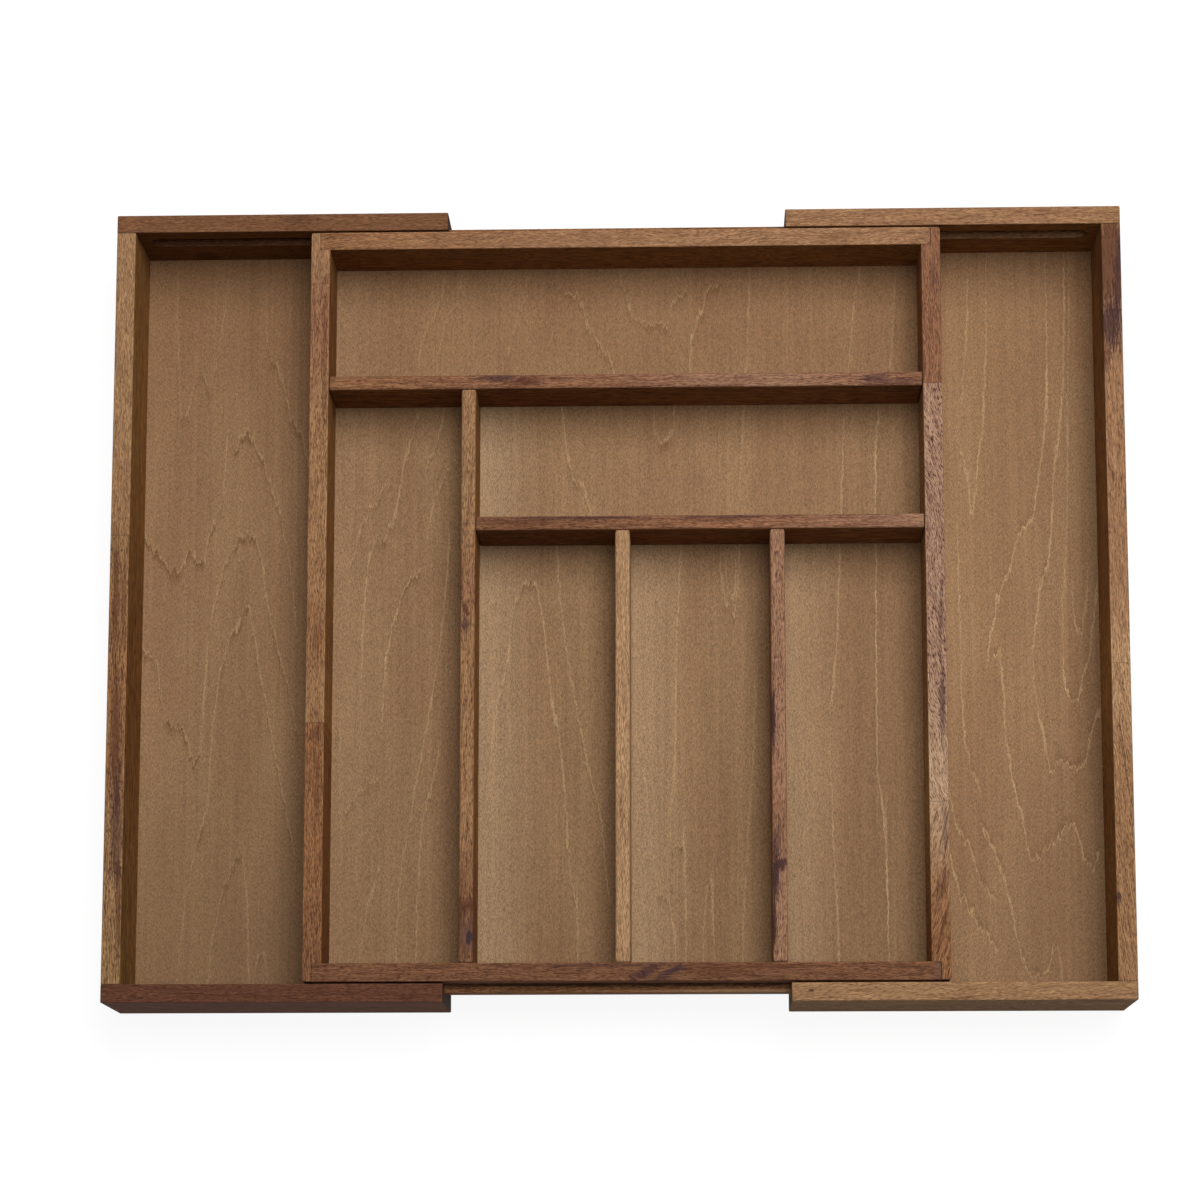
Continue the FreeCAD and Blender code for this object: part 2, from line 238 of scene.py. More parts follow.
DARK_RED = Tone(linear(104, 66, 48), linear(54, 29, 22), 0.35, 0.45)

KNOT_SEAM_AND_SHADOW_DARK = linear(54, 32, 22)
KNOT_PURPLE = linear(66, 42, 44)
KNOT_BLUE = linear(52, 40, 46)
KNOT_RED = linear(84, 48, 34)
KNOT_RIM = linear(134, 96, 74)
WALL_END_GREY = linear(108, 78, 64)
WALL_END_TAN = linear(140, 102, 74)


@dataclass
class Stave:
    """A length of one wood: its tone, how far its grain slants across the board, and its sway in mm"""
    tone: Tone
    slant: float = 0.0
    sway: float = 6.0


@dataclass
class Mark:
    """A knot or band, or a painted shadow or highlight: its centre along the board and across from the
    middle, and its half sizes

    It lies on the rim or at a depth below it, may slant like the grain, and bends the grain round it.
    """
    along: float
    across: float
    length: float
    width: float
    colour: tuple = KNOT_PURPLE
    strength: float = 0.6
    slant: float = 0.0
    bend: float = 0.0
    depth: float = 0.0
    height: float = 18.0


@dataclass
class Patch:
    """A stretch of another tone, which fades out over its half length"""
    along: float
    length: float
    tone: Tone
    strength: float = 1.0


@dataclass
class WallEnd:
    """The rounded end of a wall in its rebate, behind a dark seam: its centre and its half sizes"""
    along: float
    across: float
    length: float
    width: float
    colour: tuple


@dataclass
class Board:
    """One board: the axis that its grain follows, its staves from the lowest end up, and their details"""
    run: str
    staves: tuple
    joints: tuple = ()
    patches: tuple = ()
    marks: tuple = ()
    wall_ends: tuple = ()


BOARDS = {
    "left_wing_side": Board("Y", (
        Stave(OLIVE_TAN, -0.02), Stave(LIGHT_TAN, -0.02),
    ), joints=(37.7,), patches=(
        Patch(-50, 95, RED_BROWN, 0.8),
    ), marks=(
        Mark(5, -1.5, 40, 2.2, KNOT_RED, 0.6, -0.01),
        Mark(0, 3, 36, 1.6, KNOT_RED, 0.45, -0.01),
        Mark(-75, 0, 50, 3.4, KNOT_RED, 0.65, -0.015),
        Mark(-125, 1.4, 36, 4.0, KNOT_PURPLE, 0.6, -0.02),
        Mark(-170, 3.6, 32, 2.2, KNOT_RED, 0.6, -0.01),
    )),
    "right_wing_side": Board("Y", (
        Stave(TAN, -0.12), Stave(WARM_TAN, -0.03),
    ), joints=(-37.1,), patches=(
        Patch(-42, 40, CREAM),
    ), marks=(
        Mark(190, -1, 40, 12, KNOT_RED, 0.75, 0.1),
        Mark(180, 3.6, 34, 3, KNOT_PURPLE, 0.75, 0.05),
        Mark(152, -1, 17, 7, KNOT_PURPLE, 0.85, 0, 3),
        Mark(134, -4, 12, 3, KNOT_RED, 0.5),
        Mark(-85, 0, 22, 0.9, KNOT_RED, 0.5, -0.1),
        Mark(-165, -4.2, 3.5, 1.4, KNOT_PURPLE, 0.85, 0, 1.5),
    )),
    "centre_left_side": Board("Y", (
        Stave(RED_BROWN, -0.04), Stave(TAN, 0.02), Stave(LIGHT_TAN, 0.02),
    ), joints=(-67.6, 179.5), patches=(
        Patch(158, 34, REDDISH, 0.8),
        Patch(-16, 16, RED_BROWN, 0.7),
        Patch(-205, 40, DARK_BROWN, 0.7),
    ), marks=(
        Mark(140, 2.6, 42, 1.8, KNOT_RED, 0.4),
        Mark(-22, 0.5, 12, 2.6, KNOT_RED, 0.35),
        Mark(-74, 0, 5, 4, KNOT_RED, 0.5),
        Mark(-100, 2, 24, 0.9, KNOT_RED, 0.5, 0.02),
    )),
    "centre_right_side": Board("Y", (
        Stave(RED_BROWN, 0.22), Stave(PINK_TAN, -0.3, 20), Stave(REDDISH, -0.03),
    ), joints=(-112.5, 120.0), patches=(
        Patch(-104, 40, PALE),
    ), marks=(
        Mark(182, 0.5, 12, 2.4, KNOT_PURPLE, 0.35),
        Mark(-10, 2.4, 26, 1.2, KNOT_PURPLE, 0.45, 0.03),
        Mark(-60, 2.6, 24, 2, KNOT_PURPLE, 0.65),
        Mark(-128, 3, 16, 1.8, KNOT_PURPLE, 0.45),
        Mark(-158, 1.5, 9, 3, KNOT_RED, 0.5, 0.3),
        Mark(-182, 0.5, 16, 1, KNOT_RED, 0.6, 0.22),
    )),
    "tall_divider": Board("Y", (Stave(TAN, 0.04),), patches=(
        Patch(70, 30, LIGHT_TAN, 0.8),
        Patch(10, 16, REDDISH, 0.8),
        Patch(-180, 44, DARK_BROWN, 0.9),
    ), marks=(
        Mark(-4, -1.5, 6, 1.6, KNOT_RED, 0.8, -0.35, 2),
        Mark(-13, -1, 5, 3.4, KNOT_PURPLE, 0.65, 0, 2),
        Mark(-168, 0, 5, 5, KNOT_RED, 0.7, 0, 2),
        Mark(-185, 1, 11, 5.5, KNOT_PURPLE, 0.7, 0, 3),
        Mark(-185, 1.5, 7.5, 4, KNOT_RIM, 0.55),
        Mark(-185, 2, 4.6, 2.4, KNOT_BLUE, 0.9),
    )),
    "left_short_divider": Board("Y", (Stave(CREAM),), marks=(
        Mark(-108, -0.5, 10, 0.5, KNOT_RED, 0.4, 0.15),
        Mark(-128, 0.5, 10, 0.5, KNOT_RED, 0.4, -0.15),
    )),
    "right_short_divider": Board("Y", (Stave(PINK, 0.02),), patches=(
        Patch(-125, 20, REDDISH, 0.5),
    ), marks=(
        Mark(-66, -3, 22, 1.6, KNOT_PURPLE, 0.95),
        Mark(-134, -1.5, 12, 3, KNOT_PURPLE, 0.5, 0.1),
        Mark(-152, -2.2, 18, 2, KNOT_PURPLE, 0.95, 0.03),
        Mark(-146, 0.6, 3.6, 4.4, KNOT_PURPLE, 0.9, 0.5, 2),
        Mark(-178, -3.2, 16, 1.4, KNOT_PURPLE, 0.9),
    )),
    "long_cross_divider": Board("X", (Stave(REDDISH, 0.01),), patches=(
        Patch(-150, 60, RED_BROWN, 0.6),
        Patch(78, 62, PINK),
    ), marks=(
        Mark(-66, 2, 14, 2.4, KNOT_PURPLE, 0.75, 0, 2),
        Mark(-50, -0.5, 13, 3.4, KNOT_RED, 0.75, 0.1, 2),
        Mark(142, 0, 9, 3.4, KNOT_PURPLE, 0.7, 0, 2),
        Mark(158, -2, 14, 2.5, KNOT_PURPLE, 0.4),
    )),
    "short_cross_divider": Board("X", (Stave(REDDISH, -0.01),), patches=(
        Patch(-60, 70, DARK_BROWN, 0.8),
        Patch(168, 56, PINK),
    ), marks=(
        Mark(-20, 2.7, 50, 1.2, KNOT_PURPLE, 0.65),
        Mark(-50, -0.5, 26, 2.6, KNOT_RED, 0.4),
        Mark(62, 2.8, 36, 1, KNOT_PURPLE, 0.5),
    )),
    "left_wing_rear_rail": Board("X", (Stave(BROWN),), marks=(
        Mark(-176, 1.5, 12, 3.5, KNOT_SEAM_AND_SHADOW_DARK, 0.3),
        Mark(-233, -5, 9, 6, KNOT_SEAM_AND_SHADOW_DARK, 0.55, depth=43, height=6),
    )),
    "right_wing_rear_rail": Board("X", (Stave(WARM_TAN),), patches=(
        Patch(275, 30, TAN, 0.6),
    )),
    "left_wing_front_rail": Board("X", (Stave(DARK_RED),)),
    "right_wing_front_rail": Board("X", (Stave(LIGHT_TAN, 0.1, 10),), marks=(
        Mark(103.7, 0.5, 1.8, 0.9, KNOT_SEAM_AND_SHADOW_DARK, 0.85, 0, 2),
        Mark(186, -3.4, 9, 0.9, KNOT_RED, 0.5, 0.1),
        Mark(262, -4.6, 20, 0.8, KNOT_SEAM_AND_SHADOW_DARK, 0.4),
    )),
    "centre_rear_wall": Board("X", (Stave(WARM_TAN, 0.03, 12),), patches=(
        Patch(-175, 100, RED_BROWN, 0.8),
    ), wall_ends=(
        WallEnd(171, 0, 2.4, 4.6, WALL_END_TAN),
    )),
    "centre_front_wall": Board("X", (Stave(DARK_BROWN, -0.02),), marks=(
        Mark(16, 0, 12, 3.4, KNOT_PURPLE, 0.7, 0.5, 3),
        Mark(30, 0.5, 9, 2.4, KNOT_BLUE, 0.75, 0.4),
        Mark(52, 0, 16, 5, KNOT_RED, 0.4),
        Mark(-10, 3.4, 40, 1.2, KNOT_PURPLE, 0.5),
        Mark(80, 2.4, 40, 1.2, KNOT_RED, 0.5),
    ), wall_ends=(
        WallEnd(170.8, 0, 2.4, 4.6, WALL_END_GREY),
    )),
    "front_runner": Board("X", (Stave(RED_BROWN),), marks=(
        # Painted shadow: a dark band along the rear edge of the runner's top, where the front wall shades
        # it
        Mark(0, 1.6, 250, 2.2, KNOT_SEAM_AND_SHADOW_DARK, 0.75),
        # A pale band along the front edge of the runner's top: partly the wood's own streak, partly painted
        # highlight where the edge catches light
        Mark(70, -3, 70, 1.2, CREAM.ground, 0.6),
    )),
    "rear_runner": Board("X", (Stave(RED_BROWN),)),
}

# Acacia: how its grain wanders, its slow drift of tone, its streaks, its short dark dashes and its fibres
WANDER = Noise((45, 30, 30), 1, 0)
DRIFT = Noise((50, 2.6, 10), 2, 0, (0.36, 0.64))
STREAK = Noise((14, 0.75, 2), 2, 3, (0.44, 0.66))
DASH = Noise((2.6, 0.5, 1.2), 1, 9, (0.5, 0.64))
FIBRE = Noise((3.4, 0.4, 0.8), 3, 5)
DRIFT_SHARE = 0.22
FIBRE_GAIN = 2.1
STAVE_SHIFT = 61.0
FACE_STRETCH = 0.7

# How much the grain frays the edges of the marks, and the range over which a mark comes in
STREAK_FRAY = 0.3
FIBRE_FRAY = 0.5
DASH_FRAY = 0.2
STREAK_MEAN = 0.3
DASH_MEAN = 0.3
MARK_SPAN = (0.15, 0.85)

# Joints, seams, rim edges (partly wear, partly painted highlight) and end grain
JOINT_HALF_WIDTH = 0.25
JOINT_SHADE = 0.25
RIM_EDGE_WIDTH = 1.3
RIM_EDGE_BASE = 0.4
WEAR_AND_HIGHLIGHT_GAIN = 0.16
END_SPAN = (0.6, 0.95)
END_SHADE = 0.22
SEAM_WIDTH = 0.6
SEAM_SHADE = 0.6
WALL_END_SQUARENESS = 4
WALL_END_FILL = (0.9, 1.3)
WALL_SEAM_START = (0.6, 1.1)
WALL_SEAM_STOP = (1.2, 2.0)
WALL_SEAM_SHADE = 0.8

# Faces count as flat or upright by how far they face up, and as inner ones by how far they face the middle
# of the tray, where painted shade darkens them
FLAT_SPAN = (0.3, 0.7)
UPRIGHT_SPAN = (0.7, 0.3)
INWARD_REACH = 10.0
INNER_FACE_PAINTED_SHADE = (0.72, 0.6, 0.34, 1.0)

WOOD_ROUGHNESS = 0.8
FIBRE_ROUGHNESS = 0.16
DASH_ROUGHNESS = 0.1
WEAR_POLISH = 0.08
WOOD_RELIEF = 0.00012
WOOD_LEVEL = 0.4
FIBRE_RELIEF = 0.4
DASH_RELIEF = 0.3
STREAK_RELIEF = 0.1


def acacia(node, board, seed):
    """Oiled acacia with the staves, grain and marks of one board"""
    graph = Graph("acacia_" + node)
    low, high = (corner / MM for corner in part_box(node))
    run, side = (0, 1) if board.run == "X" else (1, 0)
    middle = (low[side] + high[side]) / 2
    half_width = (high[side] - low[side]) / 2
    centre = (low[run] + high[run]) / 2
    half_length = (high[run] - low[run]) / 2
    place, normal = graph.place(), graph.normal()
    along, up = place[run], place[2]
    offset = place[side] - middle
    upright = graph.rise(abs(normal[2]), *UPRIGHT_SPAN)
    inward = graph.rise(normal[0] * place[0] + normal[1] * place[1], 0, -INWARD_REACH)

    # Staves: one after another along the board, each with its own tone and grain
    first = board.staves[0]
    ground, grain_colour = first.tone.ground, first.tone.grain
    streaks, dashes = first.tone.streaks, first.tone.dashes
    slant, sway = first.slant, first.sway
    shift = seed * STAVE_SHIFT
    joint_line = 0.0
    for joint, stave in zip(board.joints, board.staves[1:]):
        past = along > joint
        ground = graph.tint(past, ground, stave.tone.ground)
        grain_colour = graph.tint(past, grain_colour, stave.tone.grain)
        streaks = graph.blend(past, streaks, stave.tone.streaks)
        dashes = graph.blend(past, dashes, stave.tone.dashes)
        slant = graph.blend(past, slant, stave.slant)
        sway = graph.blend(past, sway, stave.sway)
        shift = past * STAVE_SHIFT + shift
        apart = graph.rise(abs(along - joint), JOINT_HALF_WIDTH, 2 * JOINT_HALF_WIDTH)
        joint_line = 1 - apart + joint_line

    for patch in board.patches:
        ahead = (along - patch.along) / patch.length
        near = graph.math("EXPONENT", ahead * ahead * -1) * patch.strength
        ground = graph.tint(near, ground, patch.tone.ground)
        grain_colour = graph.tint(near, grain_colour, patch.tone.grain)

    # The grain slants, sways and bends round the knots
    wander = graph.noise((along + shift, offset, up), WANDER, seed) - NOISE_MIDDLE
    course = offset - along * slant + wander * sway
    shares = []
    for mark in board.marks:
        ahead = (along - mark.along) / mark.length
        aside = (offset - mark.across - (along - mark.along) * mark.slant) / mark.width
        below = (up - high[2] + mark.depth) / mark.height
        near = graph.math("EXPONENT", (ahead * ahead + aside * aside + below * below) * -1)
        if mark.bend:
            course = course - aside * near * mark.bend
        shares.append(near)
    grain = (along * (1 - upright * FACE_STRETCH) + shift, course, up + wander * sway)

    drift = graph.noise(grain, DRIFT, seed)
    streak = graph.noise(grain, STREAK, seed)
    dash = graph.noise(grain, DASH, seed)
    fibre = graph.noise(grain, FIBRE, seed)
    colour = graph.tint(drift * DRIFT_SHARE, ground, grain_colour)
    colour = graph.tint(streak * streaks, colour, grain_colour)
    colour = graph.tint(dash * dashes, colour, grain_colour)

    # Rounded wall ends at the corners: greyer wood that ends at a dark curved seam
    for end in board.wall_ends:
        outward = graph.rise(along, end.along - end.length, end.along + end.length)
        ahead = graph.math("POWER", abs(along - end.along) / end.length, WALL_END_SQUARENESS)
        aside = graph.math("POWER", abs(offset - end.across) / end.width, WALL_END_SQUARENESS)
        reach = ahead + aside
        filled = 1 - graph.rise(reach, *WALL_END_FILL)
        curved_seam = graph.rise(reach, *WALL_SEAM_START) * (1 - graph.rise(reach, *WALL_SEAM_STOP))
        colour = graph.tint(filled * outward, colour, end.colour)
        colour = graph.tint(curved_seam * outward * WALL_SEAM_SHADE, colour, KNOT_SEAM_AND_SHADOW_DARK)

    colour = graph.shade(colour, fibre * FIBRE_GAIN)
    fray = (streak - STREAK_MEAN) * STREAK_FRAY + (dash - DASH_MEAN) * DASH_FRAY
    fray = fray + (fibre - NOISE_MIDDLE) * FIBRE_FRAY
    for mark, near in zip(board.marks, shares):
        share = graph.rise(near + fray, *MARK_SPAN) * mark.strength
        colour = graph.tint(share, colour, mark.colour)

    # Thin dark joints and end seams, darker end grain, paler rim edges (partly wear, partly painted
    # highlight), and painted shade on the upright faces inside the tray
    seam = graph.rise(abs(along - centre), half_length - SEAM_WIDTH, half_length)
    end_grain = graph.rise(abs(normal[run]), *END_SPAN)
    rim_edge = graph.rise(abs(offset), half_width - RIM_EDGE_WIDTH, half_width)
    # Paler rim edges: partly wear, partly painted highlight where the rounded edges catch light
    wear_and_highlight = rim_edge * graph.rise(up, high[2] - RIM_EDGE_WIDTH, high[2]) * (fibre + RIM_EDGE_BASE)
    strength = (1 + wear_and_highlight * WEAR_AND_HIGHLIGHT_GAIN) * (1 - seam * SEAM_SHADE)
    strength = strength * (1 - joint_line * JOINT_SHADE) * (1 - end_grain * END_SHADE)
    colour = graph.shade(colour, strength)
    # Painted shade: the upright faces inside the tray are darkened
    colour = graph.tint(upright * inward, colour, INNER_FACE_PAINTED_SHADE, "MULTIPLY")

    roughness = fibre * FIBRE_ROUGHNESS + dash * DASH_ROUGHNESS - wear_and_highlight * WEAR_POLISH + WOOD_ROUGHNESS
    height = fibre * FIBRE_RELIEF - dash * DASH_RELIEF - streak * STREAK_RELIEF + WOOD_LEVEL
    return graph.finish(colour, roughness, height, WOOD_RELIEF)


@dataclass
class Ring:
    """A growth ring in the veneer: the points (x, y) that its line runs through, from left to right"""
    points: tuple
    strength: float = 1.0


LEFT_WING_RINGS = (
    Ring(((-201, 210), (-200, 172), (-198, 152), (-194, 149), (-187, 122), (-180, 107), (-174, 85))),
    Ring((
        (-251.5, 210), (-249.5, 145), (-246.5, 116), (-240, 140), (-235.5, 143), (-233, 134), (-229, 145),
        (-224, 180), (-221, 210),
    ), 0.8),
    Ring((
        (-268, 50), (-260, 40), (-248, 27), (-240.5, 41), (-236.5, 32), (-230.5, 50), (-223, 72),
        (-219.5, 108), (-216.5, 101), (-211.5, 109), (-202.5, 95), (-195, 75), (-188.5, 50), (-180, -8),
    )),
    Ring((
        (-268, -17), (-260.5, -22), (-253, -57), (-243, -62), (-235.5, -79), (-232, -40), (-227, 8),
        (-217, 41), (-208, 49), (-202, 37), (-197, 8), (-188, -27), (-179, -65),
    )),
    Ring((
        (-244, -214), (-242, -175), (-235.5, -132), (-230, -110), (-227, -65), (-222, -25), (-212, 2),
        (-208.5, 8), (-205.5, -5), (-198.5, -42), (-190.5, -82), (-180, -133),
    )),
    Ring(((-228, -214), (-224, -175), (-217, -145), (-210.5, -134), (-207, -152), (-204, -214))),
    Ring(((-202, -214), (-198, -186), (-193, -214)), 0.8),
)
RIGHT_WING_RINGS = (
    Ring(((192, 118), (194.5, 140), (197, 180), (198, 210)), 0.6),
    Ring(((191.5, 97), (196, 75), (197.5, 62), (201.5, 87), (205, 117), (207, 155), (208.5, 210)), 0.7),
    # a ring that runs back from its leftmost point, and its other half that zigzags to the right
    Ring((
        (204.5, -27), (207, -12), (212, 10), (218, 27), (224.5, 47), (231, 57), (235, 77), (239, 105),
        (241, 140), (242, 210),
    )),
    Ring((
        (204.5, -27), (208, -26), (210, -21), (213, -35), (215, -75), (222, -110), (230, -137), (236, -132),
        (250, -119), (259, -142), (265, -132),
    )),
    Ring(((230, -20), (233, 2), (236, 20), (240.5, 35), (244, 80), (249.5, 130), (252.5, 210))),
    Ring((
        (230, -20), (231.5, -45), (237, -75), (239.5, -88), (244.5, -84), (254.5, -86), (261, -70),
        (267, -50),
    )),
    Ring(((246.5, -25), (247.5, 7), (249.5, 30), (252, 100), (255, 210)), 0.6),
    Ring(((246.5, -25), (249, -44), (253.5, -49), (258, -35), (262, -18), (267, 20))),
    Ring(((252.5, 30), (253.5, 2), (256.5, -8), (259, -2), (262, 30)), 0.7),
    Ring((
        (200, -118), (207, -132), (215, -160), (220, -187), (229, -202), (236, -195), (239, -186),
        (244, -214),
    ), 0.9),
    Ring(((189, 60), (190, 0), (191, -55), (193.5, -80), (197.5, -92), (200, -105)), 0.8),
    Ring(((180, -88), (188, -122), (194, -132), (198, -147), (208, -162)), 0.8),
    Ring(((180, -125), (188, -156), (197, -171), (208, -189))),
)
CENTRE_RINGS = (
    # wide rear compartment and the one in front of it
    Ring(((-113, 140), (-109, 161), (-104, 171), (-99, 188), (-96, 205)), 0.6),
    Ring(((-101, 150), (-97, 169), (-91, 180), (-86, 205)), 0.5),
    Ring(((-65, 140), (-58, 166), (-54, 179), (-48, 205)), 0.6),
    Ring(((-38, 190), (-24, 184), (-18, 169), (-11.5, 156), (-4, 145), (2, 122)), 0.9),
    Ring(((-1, 205), (4.5, 183), (11, 170), (27, 166), (31, 180), (40, 187))),
    Ring(((40, 122), (41.5, 154), (47, 174), (52, 188), (64, 189)), 0.9),
    Ring(((-33, 140), (-30.5, 109), (-26, 81), (-20, 73), (-12, 40)), 0.9),
    Ring(((20, 127), (21.2, 101), (25, 97), (29, 100), (32.5, 127))),
    # long left compartment
    Ring(((-107, 85), (-100, 105), (-97, 122)), 0.9),
    Ring(((-107, 40), (-102.5, 65), (-94, 85), (-88, 90)), 0.8),
    Ring(((-143, -30), (-140, 24), (-137, 38), (-130, 44), (-125, 56), (-120, 86), (-110, 122))),
    Ring(((-150, 25), (-141.5, 56), (-133, 69), (-126, 80)), 0.8),
    Ring(((-131.5, -60), (-129, -26), (-124, -1), (-118, 16), (-110, 26))),
    Ring(((-122.5, -205), (-120, -151), (-115, -116), (-105, -56), (-97, 5), (-94, 45)), 0.8),
    Ring(((-111.5, -205), (-109, -128), (-103, -98), (-99, -75)), 0.8),
    Ring(((-152, -112), (-144, -101), (-132, -91)), 0.7),
    Ring(((-143.5, -205), (-138, -166), (-131, -140)), 0.7),
    # three small compartments
    Ring((
        (-73.5, -115), (-67.5, -55), (-61.5, -25), (-58, 3), (-52, 15), (-48, 17), (-44.5, 10), (-41, -12),
        (-37, -48), (-31.5, -80), (-26, -148), (-23, -165), (-22, -205),
    )),
    Ring(((-35, 45), (-31.5, 0), (-28, -26), (-23.5, -51), (-16.5, -88), (-10.5, -113), (-5, -160))),
    Ring(((28.3, -120), (31, -80), (33, 0), (35.5, 45)), 0.9),
    Ring(((28.3, -120), (30, -132), (35.5, -131), (36.5, -150), (37.5, -205)), 0.9),
    Ring(((9.5, -70), (14.5, -94), (18, -131), (22, -157), (27, -161), (31, -190), (31.5, -205)), 0.8),
    Ring(((46, -205), (47, -173), (50, -151), (52, -175), (52.5, -205)), 0.8),
    Ring(((56.5, 45), (58, 14), (63, 0), (66, 10), (68, 45))),
    Ring(((59, 45), (60.5, 18), (63, 8), (65, 18), (66, 45)), 0.8),
    Ring(((67.3, -205), (69.7, -150), (74.5, -78), (76, -40)), 0.6),
    Ring(((103.5, -60), (105, -140), (106, -205)), 0.5),
    # nearly straight lines on the right, which run on under the cross dividers
    Ring(((116.5, -61), (119.5, -36), (123.5, 40), (126.5, 115)), 0.9),
    Ring(((116.5, -61), (118, -126), (121, -205)), 0.9),
    Ring(((142, -90), (143, 0), (143.5, 70), (146, 120)), 1.3),
    Ring(((142, -90), (146.5, -126), (148, -205)), 1.3),
    Ring(((66.5, 47), (68.2, 81), (70.5, 115), (72.2, 149), (75, 205)), 0.6),
    Ring(((94.5, 130), (96, 205)), 0.5),
    Ring(((128, 127), (132, 168), (137.5, 205)), 0.7),
    Ring(((152, 127), (154.7, 171), (157, 205)), 0.6),
)


@dataclass
class Veneer:
    """Face veneer of a floor: its rings, how pale and brown they are, and its stain

    The brown lies in front of each pale line (-1) or behind it (1). The stain has a lightness. Towards the
    rear the floor turns warmer and darker, partly by its stain and partly by painted shade; painted shade
    darkens it towards the front, and painted light makes it paler beside some boards.
    """
    rings: tuple
    pale: float
    brown: float
    brown_side: int
    lightness: float
    warmth_and_shade: float
    front_painted_shade: float
    painted_light_beside: tuple = ()


# Painted light: the floor is paler to the right of these boards, by these shares
PAINTED_LIGHT_BOARDS = (
    ("centre_left_side", 0.2),
    ("tall_divider", 0.75),
    ("left_short_divider", 0.75),
    ("right_short_divider", 0.55),
)

FLOORS = {
    "left_wing_floor": Veneer(LEFT_WING_RINGS, 0.5, 0.9, -1, 1.0, 0.4, 0.22),
    "right_wing_floor": Veneer(RIGHT_WING_RINGS, 0.8, 0.5, 1, 1.09, 0.35, 0.14),
    "centre_floor": Veneer(CENTRE_RINGS, 0.7, 0.65, -1, 1.0, 0.4, 0.1, PAINTED_LIGHT_BOARDS),
}

PLY_LIGHT = linear(150, 117, 84)
PLY_DARK = linear(143, 109, 78)
PLY_LINE = linear(184, 152, 112)
PLY_BROWN = linear(112, 78, 48)
PLY_EDGE_DARK = linear(96, 66, 42)
PLY_REAR = linear(122, 84, 54)
# Painted light beside some boards: its colour and its reach
PLY_PAINTED_LIGHT = linear(168, 139, 106)
PAINTED_LIGHT_REACH = 40.0
REAR_REACH = (40, 210)
# Reach of the painted shade towards the front
PAINTED_SHADE_REACH = (-20, -220)

# Rings: a pale line, which has ended and which is full at these distances from its middle, and a brown band
LINE_EDGES = (0.8, 0.2)
BAND_WIDTH = 8.0
RING_FADE = 0.4
RING_STEP = 0.5
TOOTH_REACH = 20.0
RING_SWAY = 2.8
LINE_BREAKS = 0.4
BAND_BREAKS = 0.5
REAR_FADE = 0.3

# Plywood: the teeth and the sway of its rings, its mottled tone, veins, fibres, specks, and breaks in the
# rings
TOOTH = Noise((1.8, 22, 40), 3, 0)
SWAY = Noise((4, 5, 40), 4, 2)
MOTTLE = Noise((30, 110, 50), 2, 4, (0.35, 0.65))
VEIN = Noise((2.2, 160, 20), 3, 12)
PLY_FIBRE = Noise((0.42, 1.3, 2), 2, 6)
SPECK = Noise((0.45, 1.4, 2), 1, 8, (0.55, 0.70))
BREAK = Noise((4, 14, 40), 2, 10, (0.38, 0.60))
PLY_FIBRE_GAIN = 1.8
VEIN_GAIN = 0.4
STAIN_DROP = 0.07
SPECK_SHARE = 0.25

# Layers on the edges: their thickness, and where in a layer its tone turns
PLY_LAYER = 1.3
LAYER_TURN = (0.4, 0.6)

PLY_ROUGHNESS = 0.62
PLY_FIBRE_ROUGHNESS = 0.14
PLY_RELIEF = 0.0001
PLY_LEVEL = 0.3
PLY_FIBRE_RELIEF = 0.6
SPECK_RELIEF = 0.2


